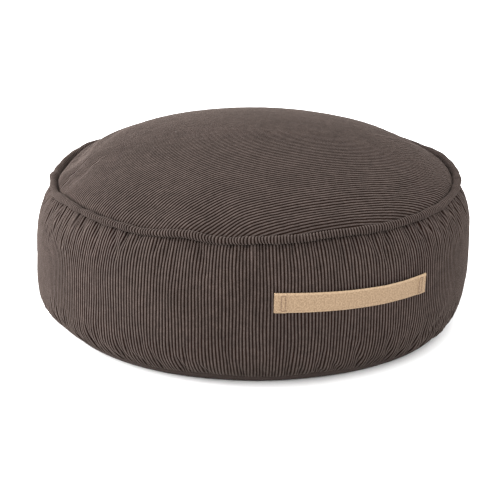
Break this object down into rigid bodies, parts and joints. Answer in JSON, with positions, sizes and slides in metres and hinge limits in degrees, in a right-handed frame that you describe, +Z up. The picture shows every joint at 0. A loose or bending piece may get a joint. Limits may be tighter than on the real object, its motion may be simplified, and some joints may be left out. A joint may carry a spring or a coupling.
{
  "type": "round corduroy floor pouf",
  "caption": "Round corduroy floor pouf with a domed top, a rolled welt in the top seam, a gathered barrel side and a webbing handle.",
  "frame": {"origin": "middle of the flat underside, on the floor", "axes": "+Z up through the middle of the top panel; -Y is the front, and the handle runs from just right of the front towards the right (+X)"},
  "size_m": [0.5998, 0.6048, 0.2745],
  "materials": {
    "corduroy": "wide-wale cotton corduroy, dark brown",
    "base_cloth": "plain woven cotton, dark brown",
    "webbing": "plain woven cotton webbing, sand"
  },
  "bodies": {
    "root": {"base_panel": "base_cloth", "side_band": "corduroy", "top_welt": "corduroy", "top_panel": "corduroy", "handle": "webbing"}
  },
  "joints": []
}
